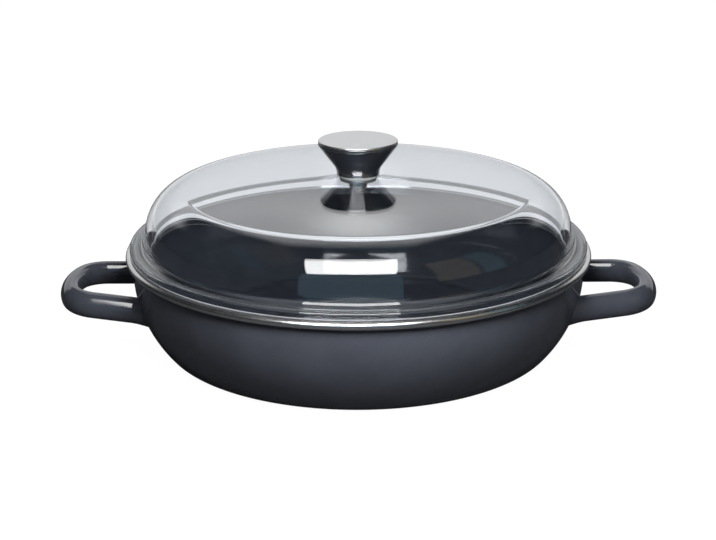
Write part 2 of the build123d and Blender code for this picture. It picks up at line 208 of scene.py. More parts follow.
corners = [(FLOOR_REACH * x, FLOOR_REACH * y, 0) for x, y in ((-1, -1), (1, -1), (1, 1), (-1, 1))]
floor_mesh = bpy.data.meshes.new("floor")
floor_mesh.from_pydata(corners, [], [(0, 1, 2, 3)])
floor = bpy.data.objects.new("floor", floor_mesh)
scene.collection.objects.link(floor)
paper = bpy.data.materials.new("paper")
paper.use_nodes = True
tree = paper.node_tree
tree.nodes.clear()
path = node(tree, "LightPath").outputs
bounced = reckon(tree, "ADD", path["Glossy Depth"], path["Diffuse Depth"])
direct = reckon(tree, "LESS_THAN", bounced, 0.5)
inside = reckon(tree, "COMPARE", path["Transmission Depth"], CROSSED_FACES, 0.1)
inside = reckon(tree, "MULTIPLY", inside, reckon(tree, "LESS_THAN", path["Diffuse Depth"], 0.5))
place = node(tree, "SeparateXYZ", {0: node(tree, "NewGeometry").outputs["Position"]}).outputs
behind = reckon(tree, "GREATER_THAN", place["Y"], reckon(tree, "ABSOLUTE", place["X"]))
direct = reckon(tree, "MAXIMUM", direct, reckon(tree, "MULTIPLY", inside, behind))
# Reflections and bounced light get the painted-shade grey, the camera the white paper.
lit = node(tree, "BsdfDiffuse", {"Color": blend(tree, direct, PAINTED_SHADE_PAPER, PAPER)})
plain = node(tree, "Emission", {"Color": WHITE, "Strength": PAPER_GLOW})
share = reckon(tree, "MULTIPLY", direct, 1.0 - SHADED_SHARE)
mixed = node(tree, "MixShader", {0: share, 1: lit.outputs[0], 2: plain.outputs[0]})
node(tree, "OutputMaterial", {"Surface": mixed.outputs[0]})
paper.cycles.emission_sampling = "NONE"
floor_mesh.materials.append(paper)
print("floor:", floor.dimensions[0], "m wide")

# %% [markdown]
# ## The lamps
# Light and reflection are made apart, so that each can follow the photograph.
# A lamp lights the matt share of a surface and isn't seen in the gloss: a small
# key lamp close in front gives the pan's front its fall of light, and large
# weak ones all round keep the sides and the back from going black. A card is a
# glowing panel that only gloss sees: the softbox is a bright one, and the rest
# of the room is dim ones. A direction is an azimuth, with 0 in front and
# positive to the right, and an elevation.

# %% Lamps
def from_where(azimuth, elevation, distance):
    """Point in a direction from the pan, in degrees, with azimuth 0 towards the camera."""
    a, e = radians(azimuth), radians(elevation)
    return Vector((sin(a) * cos(e), -cos(a) * cos(e), sin(e))) * distance


def lamp(name, place, aim, size, brightness):
    """Round lamp at a place, aimed at a point: power = brightness times its disc times pi."""
    data = bpy.data.lights.new(name, "AREA")
    data.shape = "DISK"
    data.size = size
    data.energy = brightness * pi * (size / 2) ** 2 * pi
    light = bpy.data.objects.new(name, data)
    light.location = place
    light.rotation_euler = (Vector(aim) - light.location).to_track_quat("-Z", "Y").to_euler()
    for ray in ("camera", "glossy", "transmission"):
        setattr(light, "visible_" + ray, False)
    scene.collection.objects.link(light)
    return light


LAMP_DISTANCE, LAMP_SIZE = 1.5, 0.9
PAN_MIDDLE = (0.0, 0.0, 0.05)
AROUND_THE_PAN = (("fill", -40, 40, 1.6), ("side", 50, 36, 2.2), ("back", 180, 28, 5.0),
                  ("left_rear", -112, 30, 1.8), ("right_rear", 112, 30, 2.4))
lamps = [lamp("key", (0.015, -0.33, 0.29), (0.0, -0.10, 0.03), 0.16, 40.0)]
for name, azimuth, elevation, brightness in AROUND_THE_PAN:
    place = from_where(azimuth, elevation, LAMP_DISTANCE)
    lamps.append(lamp(name, place, PAN_MIDDLE, LAMP_SIZE, brightness))
print("lamps:", [round(light.data.energy, 2) for light in lamps], "W")


# %% [markdown]
# ## The cards
# What makes enamel and glass look like enamel and glass is what they mirror. A
# photographer puts up white panels for that, and so does this scene: one large
# softbox in front and above, and three dim panels for the rest of the room,
# whose places are guesses from the tints in the dark part of the lid.

# %% Cards that only gloss sees
def card(name, points, colour):
    """Glowing panel over a square grid of points. It is dark to a ray that left a matt surface."""
    side = int(sqrt(len(points)))
    index = np.arange(side * side).reshape(side, side)
    low, high = index[:-1], index[1:]
    quads = np.stack([low[:, :-1], low[:, 1:], high[:, 1:], high[:, :-1]], -1).reshape(-1, 4)
    mesh = bpy.data.meshes.new(name)
    mesh.from_pydata(np.asarray(points).tolist(), [], quads.tolist())
    glow = bpy.data.materials.new(name)
    glow.use_nodes = True
    glow.node_tree.nodes.clear()
    depth = node(glow.node_tree, "LightPath").outputs["Diffuse Depth"]
    on = reckon(glow.node_tree, "LESS_THAN", depth, 0.5)
    emission = node(glow.node_tree, "Emission", {"Color": (*colour, 1.0), "Strength": on})
    node(glow.node_tree, "OutputMaterial", {"Surface": emission.outputs[0]})
    mesh.materials.append(glow)
    panel = bpy.data.objects.new(name, mesh)
    scene.collection.objects.link(panel)
    for ray in ("camera", "diffuse", "shadow", "volume_scatter"):
        setattr(panel, "visible_" + ray, False)
    print("card:", name)


CARD_DISTANCE, CARD_POINTS = 2.4, 9


def bent_card(name, azimuths, elevations, colour):
    """Card between two azimuths and two elevations, all at one distance."""
    a, e = np.meshgrid(np.linspace(*azimuths, CARD_POINTS), np.linspace(*elevations, CARD_POINTS))
    card(name, [from_where(x, y, CARD_DISTANCE) for x, y in zip(a.ravel(), e.ravel())], colour)


def flat_card(name, elevation, distance, left, right, low, high, colour):
    """Card square to a direction in front. Its edges are measured across and up from that
    direction, as shares of the distance."""
    axis, up = from_where(0, elevation, 1.0), from_where(180, 90 - elevation, 1.0)
    card(name, [(axis + up * h + Vector((1, 0, 0)) * w) * distance
                for h in (low, high) for w in (left, right)], colour)


flat_card("softbox", 30, 5.0, -0.457, 0.320, 0.001, 0.728, (12.5, 12.5, 12.5))
bent_card("room_low", (-30, 22), (0, 27), (0.22, 0.38, 0.50))
bent_card("room_door", (40, 64), (2, 44), (0.29, 0.25, 0.18))
bent_card("room_shelf", (66, 80), (2, 44), (0.12, 0.22, 0.26))

# %% [markdown]
# ## Outlines
# Almost every piece of a pan is turned about one axis, so its whole shape is
# in the outline of its section: radius across, height up. An outline here is a
# list of stops. A stop with a rounding is a corner with an arc in its place,
# and a ready-made arc can stand between stops. Straight runs get an extra
# point near each end, so that the smooth shading turns in the corners only.

# %% Outlines in millimetres
MM = 0.001
ARC_STEP = 8
SHORT_RUN, RUN_END, RUN_STEP = 0.8, 0.3, 9


def arc(centre, radius, start, end, steps):
    """Points centre + radius (cos t, sin t), with t even between two angles in degrees."""
    t = np.radians(np.linspace(start, end, steps))
    return np.column_stack([centre[0] + radius * np.cos(t), centre[1] + radius * np.sin(t)])


def rounded_corner(corner, before, after, rounding):
    """Arc that touches both runs of a corner. Its centre lies on the bisector, at
    rounding / sin(half the corner), and its points turn evenly from run to run."""
    back, ahead = before - corner, after - corner
    back, ahead = back / np.linalg.norm(back), ahead / np.linalg.norm(ahead)
    half = np.arccos(np.clip(back @ ahead, -1, 1)) / 2
    middle = (back + ahead) / np.linalg.norm(back + ahead)
    centre = corner + middle * rounding / sin(half)
    first = corner + back * rounding / np.tan(half) - centre
    last = corner + ahead * rounding / np.tan(half) - centre
    turn = pi - 2 * half
    s = np.linspace(0, 1, max(5, int(degrees(turn) / ARC_STEP) + 2))[:, None]
    return centre + (np.sin((1 - s) * turn) * first + np.sin(s * turn) * last) / sin(turn)


def straight(start, end):
    """Points inside a straight run: one close to each end, and others evenly between."""
    length = np.linalg.norm(end - start)
    if length < SHORT_RUN:
        return np.empty((0, 2))
    near = min(RUN_END, length / 4)
    along = np.linspace(near, length - near, 2 + int(length / RUN_STEP))
    return start + (end - start) * (along / length)[:, None]


def outline(*stops, closed=False):
    """Path through stops (radius, height, rounding) and ready arcs, in order."""
    shapes = [np.atleast_2d(np.asarray(stop, float))[:, :2] for stop in stops]
    parts = []
    for k, stop in enumerate(stops):
        if np.ndim(stop) == 1 and stop[2] > 0:
            around = shapes[k - 1][-1], shapes[(k + 1) % len(stops)][0]
            parts.append(rounded_corner(shapes[k][0], *around, stop[2]))
        else:
            parts.append(shapes[k])
    ring = parts + parts[:1] if closed else parts
    path = [ring[0]]
    for part in ring[1:]:
        path += [straight(path[-1][-1], part[0]), part]
    path = np.vstack(path[:-1] if closed else path)
    apart = np.linalg.norm(np.diff(path, axis=0), axis=1) > 1e-4
    return path[np.concatenate([[True], apart])]


# %% [markdown]
# ## Turning an outline
# The lathe: each point of the outline becomes a ring of vertices, and rings
# are joined by quads. A point on the axis stays one vertex with a fan of
# triangles. The outline runs so that its outside is on its right, and then
# every face points outwards.

# %% The lathe
def add_piece(name, vertices, faces, material, body, nodes):
    """Puts vertices and faces into a mesh, shades it smooth, and hangs it on a body."""
    mesh = bpy.data.meshes.new(name)
    mesh.from_pydata(vertices, [], faces)
    mesh.polygons.foreach_set("use_smooth", np.ones(len(mesh.polygons), dtype=bool))
    mesh.materials.append(material)
    mesh.update()
    piece = bpy.data.objects.new(name, mesh)
    scene.collection.objects.link(piece)
    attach(piece, body)
    if nodes:
        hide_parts(*nodes)
    print(f"{name}: {len(mesh.vertices)} vertices, for {', '.join(nodes)}")
    return piece


def turned(name, path, material, body, nodes, turns=320):
    """Surface of revolution: (r, z) goes to (r cos a, r sin a, z) for even angles a."""
    r, z = path[:, 0] * MM, path[:, 1] * MM
    axis = r < 1e-7
    a = np.linspace(0, 2 * pi, turns, endpoint=False)
    rings, level = r[~axis], z[~axis]
    grid = np.stack([np.outer(rings, np.cos(a)), np.outer(rings, np.sin(a)),
                     np.repeat(level[:, None], turns, 1)], -1)
    index = np.arange(len(rings) * turns).reshape(len(rings), turns)
    closed = not axis.any()
    low, high = (index, np.roll(index, -1, 0)) if closed else (index[:-1], index[1:])
    quads = np.stack([low, np.roll(low, -1, 1), np.roll(high, -1, 1), high], -1).reshape(-1, 4)
    vertices, faces = [grid.reshape(-1, 3)], quads.tolist()
    count = index.size
    if axis[0]:
        vertices.append(np.array([[0, 0, z[0]]]))
        fan = np.stack([np.full(turns, count), np.roll(index[0], -1), index[0]], -1)
        faces += fan.tolist()
        count += 1
    if axis[-1]:
        vertices.append(np.array([[0, 0, z[-1]]]))
        fan = np.stack([index[-1], np.roll(index[-1], -1), np.full(turns, count)], -1)
        faces += fan.tolist()
    return add_piece(name, np.vstack(vertices), faces, material, body, nodes)


# %% [markdown]
# ## Enamel
# Enamel is glass fused to steel: a deep colour under a hard gloss. The colour
# is a blue-grey slate that varies a little from place to place, and the skin
# isn't a perfect mirror: it dried and flowed in the kiln, which leaves a very
# shallow orange peel. Both patterns read the object's own coordinates.

# %% Enamel material
def noise(tree, vector, scale, detail=3.0, roughness=0.5):
    """Height of a noise field at a vector."""
    inputs = {"Vector": vector, "Scale": scale, "Detail": detail, "Roughness": roughness}
    return node(tree, "TexNoise", inputs).outputs[0]


def new_material(name):
    """An empty material: its tree, its Principled shader and its object coordinates."""
    material = bpy.data.materials.new(name)
    material.use_nodes = True
    tree = material.node_tree
    tree.nodes.clear()
    shader = node(tree, "BsdfPrincipled")
    node(tree, "OutputMaterial", {"Surface": shader.outputs[0]})
    place = node(tree, "TexCoord").outputs["Object"]
    return material, tree, shader, place


enamel, tree, shader, place = new_material("enamel")
cloudy = noise(tree, place, 38.0, 4.0, 0.6)
fine = noise(tree, place, 900.0, 2.0)
cloud_share = reckon(tree, "MULTIPLY", cloudy, 0.75)
fine_share = reckon(tree, "MULTIPLY", fine, 0.25)
tone = ranged(tree, reckon(tree, "ADD", cloud_share, fine_share), 0.35, 0.65, 0.0, 1.0)
colour = blend(tree, tone, (0.042, 0.046, 0.058, 1.0), (0.052, 0.057, 0.071, 1.0))
tree.links.new(colour, shader.inputs["Base Color"])
tree.links.new(ranged(tree, cloudy, 0.3, 0.7, 0.06, 0.12), shader.inputs["Roughness"])
peel = noise(tree, place, 190.0, 1.0)
bump = node(tree, "Bump", {"Strength": 0.02, "Distance": 0.0004, "Height": peel})
tree.links.new(bump.outputs[0], shader.inputs["Normal"])
shader.inputs["IOR"].default_value = 1.52
print("enamel nodes:", len(tree.nodes))

# %% [markdown]
# ## The pan
# One pressed sheet: a flat base, a tight corner, one long arc up the side that
# ends upright, a short straight wall and a lip that turns outwards. The arc up
# the side leaves the corner's arc without a kink, so its radius isn't free: it
# follows from the reach and the climb between the two.

# %% Pan outline
PAN_RADIUS, PAN_HEIGHT, PAN_WALL = 141.7, 63.3, 2.6
SIDE_REACH, CORNER_RADIUS, STRAIGHT_SIDE = 26.7, 12.2, 7.1
LIP_REACH, LIP_HEIGHT, LIP_FILLET = 4.3, 2.7, 1.0
LIP_EDGE_SHARE, LIP_INNER_ROUND = 0.48, 1.2
BAND_SHEET, BAND_GAP = 0.8, 0.25

base_radius = PAN_RADIUS - SIDE_REACH
pan_inside = PAN_RADIUS - PAN_WALL
rim_radius = PAN_RADIUS + LIP_REACH
lip_top = PAN_HEIGHT - BAND_SHEET - BAND_GAP
lip_bottom = lip_top - LIP_HEIGHT
lip_edge = LIP_EDGE_SHARE * LIP_HEIGHT
lip_radius = rim_radius - BAND_SHEET - BAND_GAP
side_top = lip_bottom - LIP_FILLET - STRAIGHT_SIDE
climb = side_top - CORNER_RADIUS
side_radius = (SIDE_REACH**2 + climb**2 - CORNER_RADIUS**2) / (2 * (SIDE_REACH - CORNER_RADIUS))
side_centre = (PAN_RADIUS - side_radius, side_top)
corner_centre = (base_radius, CORNER_RADIUS)
side_turn = degrees(atan2(corner_centre[1] - side_centre[1], corner_centre[0] - side_centre[0]))

pan_path = outline(
    (0, 0, 0), arc(corner_centre, CORNER_RADIUS, -90, side_turn, 16),
    arc(side_centre, side_radius, side_turn, 0, 40)[1:],
    (PAN_RADIUS, lip_bottom, LIP_FILLET), (lip_radius, lip_bottom, lip_edge),
    (lip_radius, lip_top, lip_edge), (pan_inside, lip_top, LIP_INNER_ROUND),
    arc(side_centre, side_radius - PAN_WALL, 0, side_turn, 40),
    arc(corner_centre, CORNER_RADIUS - PAN_WALL, side_turn, -90, 16)[1:], (0, PAN_WALL, 0))
turned("pan", pan_path, enamel, "pan", ["pan_body"])

# %% [markdown]
# ## Steel
# The steels of this pan differ in how they were finished. The band and the cap
# were brushed while they turned, so their scratches run round the axis: the
# pattern is made from radius, height and a little of the angle. The knob's side
# was polished, and the fasteners were only tumbled.

# %% Steel materials
ANGLE_SHARE = 1.2


def steel(name, dark, light, smoothest, roughest, lines, strength):
    """Steel between two colours and two roughnesses, with scratches round the Z axis: noise over
    (radius x lines, height x lines, angle x a small share)."""
    material, tree, shader, place = new_material(name)
    xyz = node(tree, "SeparateXYZ", {0: place}).outputs
    flat = node(tree, "CombineXYZ", {0: xyz["X"], 1: xyz["Y"]}).outputs[0]
    radius = node(tree, "VectorMath", {0: flat}, operation="LENGTH").outputs["Value"]
    angle = reckon(tree, "ARCTAN2", xyz["Y"], xyz["X"])
    across = node(tree, "CombineXYZ", {
        0: reckon(tree, "MULTIPLY", radius, lines), 1: reckon(tree, "MULTIPLY", xyz["Z"], lines),
        2: reckon(tree, "MULTIPLY", angle, ANGLE_SHARE)}).outputs[0]
    scratches = noise(tree, across, 1.0, 4.0, 0.7)
    patches = noise(tree, place, 70.0, 2.0)
    mixed = reckon(tree, "ADD", reckon(tree, "MULTIPLY", scratches, 0.8),
                   reckon(tree, "MULTIPLY", patches, 0.2))
    colour = blend(tree, ranged(tree, mixed, 0.3, 0.7, 0.0, 1.0), (*dark, 1.0), (*light, 1.0))
    tree.links.new(colour, shader.inputs["Base Color"])
    tree.links.new(ranged(tree, mixed, 0.3, 0.7, roughest, smoothest), shader.inputs["Roughness"])
    bump = node(tree, "Bump", {"Strength": strength, "Distance": 0.00002, "Height": scratches})
    tree.links.new(bump.outputs[0], shader.inputs["Normal"])
    shader.inputs["Metallic"].default_value = 1.0
    return material


band_steel = steel("band_steel", (0.60, 0.59, 0.58), (0.76, 0.75, 0.74),
                   0.16, 0.30, 5000.0, 0.25)
cap_steel = steel("cap_steel", (0.58, 0.58, 0.58), (0.70, 0.70, 0.70),
                  0.24, 0.38, 6000.0, 0.30)
polished_steel = steel("polished_steel", (0.52, 0.52, 0.53), (0.60, 0.60, 0.61),
                       0.12, 0.20, 1500.0, 0.08)
tumbled_steel = steel("tumbled_steel", (0.50, 0.50, 0.50), (0.62, 0.62, 0.61),
                      0.22, 0.36, 900.0, 0.15)
print("steels:", band_steel.name, cap_steel.name, polished_steel.name, tumbled_steel.name)

# %% [markdown]
# ## The rim band
# A strip of stainless steel is rolled over the pan's raw lip: a channel that is
# open towards the middle, with its two bends as round as the lip's edge plus
# the sheet.

# %% Rim band
BAND_MOUTH, BAND_HEM, HEM_ROUND = 1.4, 1.5, 0.25

band_height = LIP_HEIGHT + 2 * (BAND_SHEET + BAND_GAP)
band_bottom = PAN_HEIGHT - band_height
band_mouth = pan_inside + BAND_MOUTH
band_hem = PAN_RADIUS + BAND_HEM
band_round = lip_edge + BAND_GAP + BAND_SHEET
band_inside = rim_radius - BAND_SHEET

band_path = outline(
    (band_hem, band_bottom, HEM_ROUND), (rim_radius, band_bottom, band_round),
    (rim_radius, PAN_HEIGHT, band_round), (band_mouth, PAN_HEIGHT, HEM_ROUND),
    (band_mouth, PAN_HEIGHT - BAND_SHEET, HEM_ROUND),
    (band_inside, PAN_HEIGHT - BAND_SHEET, band_round - BAND_SHEET),
    (band_inside, band_bottom + BAND_SHEET, band_round - BAND_SHEET),
    (band_hem, band_bottom + BAND_SHEET, HEM_ROUND), closed=True)
turned("band", band_path, band_steel, "pan", ["rim_band"], turns=360)
print("band:", round(band_height, 2), "mm tall")

# %% [markdown]
# ## Glass
# Real glass has two faces and a thickness, and both reflect: that is why the
# lid shows each lamp twice. The shader is a plain one with the green-blue cast
# of pressed soda glass. Light that falls through the lid on its way to the pan
# would be lost in a path tracer, so for shadow rays the glass lets it pass.

# %% Glass material
clear_glass, tree, shader, place = new_material("clear_glass")
drawn = noise(tree, place, 22.0, 2.0)
tint = blend(tree, drawn, (0.865, 0.884, 0.910, 1.0), (0.880, 0.898, 0.924, 1.0))
tree.links.new(tint, shader.inputs["Base Color"])
shader.inputs["Transmission Weight"].default_value = 1.0
shader.inputs["Roughness"].default_value = 0.0
shader.inputs["IOR"].default_value = 1.5
passing = node(tree, "BsdfTransparent", {"Color": (0.70, 0.72, 0.73, 1.0)})
shadow = node(tree, "LightPath").outputs["Is Shadow Ray"]
both = node(tree, "MixShader", {0: shadow, 1: shader.outputs[0], 2: passing.outputs[0]})
tree.links.new(both.outputs[0], tree.nodes["Material Output"].inputs["Surface"])
print("glass nodes:", len(tree.nodes))

# %% [markdown]
# ## The lid
# The lid is one piece of pressed glass. Under it a blunt ring drops into the
# pan and keeps the lid in place; a flange lies on the steel band; then the
# side leans inwards, a broad shoulder turns it over, and the crown is so flat
# that its radius is more than twice the pan's width. The shoulder touches the
# side's line and the crown's circle, which fixes its centre.

# %% Lid outline
GLASS = 4.0
FLANGE_SETBACK, FLANGE_HEIGHT, FLANGE_WIDTH, FLANGE_ROUND = 2.7, 4.9, 8.6, 1.7
DOME_RISE, DOME_LEAN, DOME_FILLET = 40.4, 9.0, 4.5
SHOULDER_RADIUS, CROWN_RADIUS = 27.3, 720.0
HOLE_RADIUS, HOLE_ROUND, SEAT_RADIUS, RING_ROOT_ROUND = 5.0, 0.4, 15.0, 0.5
LOCATING_DEPTH, LOCATING_CLEARANCE, LOCATING_ROUND = 4.0, 1.0, 1.4

flange_radius = rim_radius - FLANGE_SETBACK
flange_top = PAN_HEIGHT + FLANGE_HEIGHT
glass_top = flange_top + DOME_RISE
glass_under = glass_top - GLASS
lean = radians(DOME_LEAN)
up_the_side = np.array([-sin(lean), cos(lean)])
foot = np.array([flange_radius - FLANGE_WIDTH, flange_top])
crown_centre = np.array([SEAT_RADIUS, glass_top - CROWN_RADIUS])
start = foot - np.array([cos(lean), sin(lean)]) * SHOULDER_RADIUS
offset = start - crown_centre
along = offset @ up_the_side
reach = (CROWN_RADIUS - SHOULDER_RADIUS) ** 2 - offset @ offset
shoulder = start + up_the_side * (sqrt(along**2 + reach) - along)
shoulder_turn = degrees(atan2(shoulder[1] - crown_centre[1], shoulder[0] - crown_centre[0]))
ring_radius = pan_inside - LOCATING_CLEARANCE
ring_bottom = PAN_HEIGHT - LOCATING_DEPTH
inner_start = arc(shoulder, SHOULDER_RADIUS - GLASS, DOME_LEAN, DOME_LEAN, 1)[0]
inner_bottom = inner_start - up_the_side * (inner_start[1] - ring_bottom) / up_the_side[1]

lid_path = outline(
    (HOLE_RADIUS, glass_under, HOLE_ROUND), (SEAT_RADIUS, glass_under, 0),
    arc(crown_centre, CROWN_RADIUS - GLASS, 90, shoulder_turn, 44)[1:],
    arc(shoulder, SHOULDER_RADIUS - GLASS, shoulder_turn, DOME_LEAN, 36)[1:],
    (*inner_bottom, LOCATING_ROUND), (ring_radius, ring_bottom, LOCATING_ROUND),
    (ring_radius, PAN_HEIGHT, RING_ROOT_ROUND), (flange_radius, PAN_HEIGHT, FLANGE_ROUND),
    (flange_radius, flange_top, FLANGE_ROUND), (*foot, DOME_FILLET),
    arc(shoulder, SHOULDER_RADIUS, DOME_LEAN, shoulder_turn, 40),
    arc(crown_centre, CROWN_RADIUS, shoulder_turn, 90, 44)[1:],
    (HOLE_RADIUS, glass_top, HOLE_ROUND), closed=True)
turned("lid", lid_path, clear_glass, "glass_lid", ["lid_glass"])
print("shoulder centre:", shoulder.round(2), "crown at", round(shoulder_turn, 2), "degrees")

# %% [markdown]
# ## The knob
# The knob is spun from sheet: a narrow foot, a flare and a straight cone up to
# a wide rim, closed by a thick flat cap with a softened edge. The line up the
# cone touches the flare's arc, so the tangent angle is worked out from where
# the rim lies.

# %% Knob shell and cap
KNOB_BASE_RADIUS, KNOB_RIM_RADIUS, KNOB_HEIGHT = 13.4, 24.7, 21.6
KNOB_RIM_HEIGHT, KNOB_FOOT, KNOB_FLARE, KNOB_SHEET = 3.1, 0.8, 8.0, 1.0
KNOB_SEAL, CAP_SHEET, CAP_EDGE, CAP_SPIGOT, CAP_CLEARANCE = 0.8, 1.4, 0.8, 0.9, 0.08
SCREW_HOLE, HOLE_EDGE, BASE_EDGE, RIM_EDGE, INNER_EDGE = 3.3, 0.2, 0.25, 0.5, 0.4
SEAM_EDGE, STEP_EDGE = 0.12, 0.1

knob_bottom = glass_top + KNOB_SEAL
knob_top = knob_bottom + KNOB_HEIGHT
cap_bottom = knob_top - CAP_SHEET
flare_centre = np.array([KNOB_BASE_RADIUS + KNOB_FLARE, knob_bottom + KNOB_FOOT])
reach = np.array([KNOB_RIM_RADIUS, knob_top - KNOB_RIM_HEIGHT]) - flare_centre
flare_turn = atan2(reach[0], reach[1]) + atan2(KNOB_FLARE, sqrt(reach @ reach - KNOB_FLARE**2))
up_the_cone = np.array([sin(flare_turn), cos(flare_turn)])


def flank(sheet):
    """Flare and cone, a sheet's thickness inside the outer face, from foot to rim."""
    bow = arc(flare_centre, KNOB_FLARE + sheet, 180, 180 - degrees(flare_turn), 22)
    rim = bow[-1] + up_the_cone * ((KNOB_RIM_RADIUS - sheet - bow[-1][0]) / up_the_cone[0])
    return bow, rim


bow, rim = flank(0)
inner_bow, inner_rim = flank(KNOB_SHEET)
floor_top = knob_bottom + KNOB_SHEET
shell_path = outline(
    (SCREW_HOLE, knob_bottom, HOLE_EDGE), (KNOB_BASE_RADIUS, knob_bottom, BASE_EDGE), bow,
    (*rim, RIM_EDGE), (KNOB_RIM_RADIUS, cap_bottom, SEAM_EDGE),
    (KNOB_RIM_RADIUS - KNOB_SHEET, cap_bottom, SEAM_EDGE), (*inner_rim, INNER_EDGE),
    inner_bow[::-1], (KNOB_BASE_RADIUS - KNOB_SHEET, floor_top, 0),
    (SCREW_HOLE, floor_top, HOLE_EDGE), closed=True)
turned("knob_side", shell_path, polished_steel, "knob", ["knob_shell"], turns=192)

step = KNOB_RIM_RADIUS - KNOB_SHEET - CAP_CLEARANCE
cap_path = outline(
    (0, cap_bottom - CAP_SPIGOT, 0), (step, cap_bottom - CAP_SPIGOT, HOLE_EDGE),
    (step, cap_bottom, STEP_EDGE), (KNOB_RIM_RADIUS, cap_bottom, SEAM_EDGE),
    (KNOB_RIM_RADIUS, knob_top, CAP_EDGE), (0, knob_top, 0))
turned("knob_top", cap_path, cap_steel, "knob", ["knob_cap"], turns=192)
print("cone leans", round(degrees(flare_turn), 1), "degrees; top at", round(knob_top, 1), "mm")

# %% [markdown]
# ## Seals and washers
# Between steel and glass lie soft rings: one under the knob, a bush in the
# hole and one under the glass, pressed up by a dished washer. They show
# through the lid, so they get rounded edges and a cloudy silicone.

# %% Silicone material and the small rings
silicone, tree, shader, place = new_material("silicone")
milk = noise(tree, place, 120.0, 3.0)
colour = blend(tree, milk, (0.42, 0.44, 0.44, 1.0), (0.52, 0.54, 0.54, 1.0))
tree.links.new(colour, shader.inputs["Base Color"])
tree.links.new(ranged(tree, milk, 0.3, 0.7, 0.42, 0.58), shader.inputs["Roughness"])

INNER_SEAL, KNOB_SEAL_INSET, SEAL_CLEARANCE = 1.2, 0.6, 0.08
WASHER_SHEET, WASHER_RADIUS, WASHER_BEND, WASHER_HEM_GAP = 1.0, 11.5, 0.6, 0.7
SOFT_EDGE, SEAL_EDGE = 0.2, 0.3

seal_bottom = glass_under - INNER_SEAL
washer_bottom = seal_bottom - WASHER_SHEET
washer_inside = WASHER_RADIUS - WASHER_SHEET
hem_top = glass_under - WASHER_HEM_GAP


def ring_path(inner, outer, bottom, top, rounding):
    """Outline of a flat ring with rounded edges."""
    return outline((inner, bottom, rounding), (outer, bottom, rounding),
                   (outer, top, rounding), (inner, top, rounding), closed=True)


outer, middle, inner = (KNOB_BASE_RADIUS - KNOB_SEAL_INSET, HOLE_RADIUS - SEAL_CLEARANCE,
                        washer_inside - SEAL_CLEARANCE)
under_knob = ring_path(SCREW_HOLE, outer, glass_top, knob_bottom, SOFT_EDGE)
in_hole = ring_path(SCREW_HOLE, middle, glass_under, glass_top, SOFT_EDGE)
under_glass = ring_path(SCREW_HOLE, inner, seal_bottom, glass_under, SEAL_EDGE)
turned("seal_under_knob", under_knob, silicone, "knob", ["knob_seal"], turns=128)
turned("bush_in_hole", in_hole, silicone, "knob", ["glass_bush"], turns=96)
turned("seal_under_glass", under_glass, silicone, "knob", ["inner_seal"], turns=128)
washer_path = outline(
    (SCREW_HOLE, washer_bottom, SOFT_EDGE), (WASHER_RADIUS, washer_bottom, WASHER_BEND),
    (WASHER_RADIUS, hem_top, SOFT_EDGE), (washer_inside, hem_top, SOFT_EDGE),
    (washer_inside, seal_bottom, 0), (SCREW_HOLE, seal_bottom, SOFT_EDGE), closed=True)
turned("dished_washer", washer_path, tumbled_steel, "knob", ["inner_washer"],
       turns=128)

for name in ("spring_washer", "knob_screw", "knob_insert"):
    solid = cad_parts[name]
    solid.data.materials.clear()
    solid.data.materials.append(tumbled_steel)
print("kept from the model: spring_washer, knob_screw, knob_insert")

# %% [markdown]
# ## The handles
# Each handle is an oval tube bent to a loop: two arms that draw together, two
# tight bends and a broad flat tip. Its top leans to the loop's inside. The
# line is made of the same arcs as the model's, in a plane that rises a little
# outwards, and the oval is carried along it.

# %% Handle line
HANDLE_HEIGHT, HANDLE_SPREAD, HANDLE_REACH = 32.3, 37.8, 49.0
TIP_RADIUS, BEND_RADIUS = 58.0, 20.0
TAPER, SLOPE, LEAN = radians(10.5), radians(3.7), radians(16.0)
HALF_WIDTH, HALF_HEIGHT = 6.1, 8.1
FOOT_LENGTH, FOOT_FLARE, FOOT_ROOT = 4.6, 2.0, 9.0

wall_here = side_centre[0] + sqrt(side_radius**2 - (side_top - HANDLE_HEIGHT) ** 2)
root_x = sqrt(wall_here**2 - HANDLE_SPREAD**2)
way = np.array([cos(TAPER), -sin(TAPER)])
root = np.array([0.0, HANDLE_SPREAD])
tip_centre = np.array([HANDLE_REACH - TIP_RADIUS, 0.0])
inward = np.array([way[1], -way[0]])
offset = root + inward * BEND_RADIUS - tip_centre
along = offset @ way
reach = (TIP_RADIUS - BEND_RADIUS) ** 2 - offset @ offset
bend = root + inward * BEND_RADIUS + way * (sqrt(along**2 + reach) - along)
tip_half = degrees(atan2(bend[1], bend[0] - tip_centre[0]))
arm_end = 90 - degrees(TAPER)
back_arm_end = arc(bend, BEND_RADIUS, arm_end, arm_end, 1)[0]
tube_start = root + way * FOOT_LENGTH
back_half = np.vstack([
    arc(tip_centre, TIP_RADIUS, 0, tip_half, 40), arc(bend, BEND_RADIUS, tip_half, arm_end, 40)[1:],
    np.linspace(back_arm_end, tube_start, 18)[1:]])
tube_line = np.vstack([(back_half * [1, -1])[::-1], back_half[1:]])
tip = root_x + HANDLE_REACH + HALF_WIDTH
print("tube line:", len(tube_line), "points; tip at", round(tip, 1), "mm")


# %% [markdown]
# ## From a line to a tube
# The tube's section is an oval, higher than wide, with its top leaning to the
# loop's inside. At each point of the line a ring of it stands square to the
# line. The handle's plane is then tilted and moved out to the pan's wall.

# %% Carrying the oval along a line
AROUND = 72


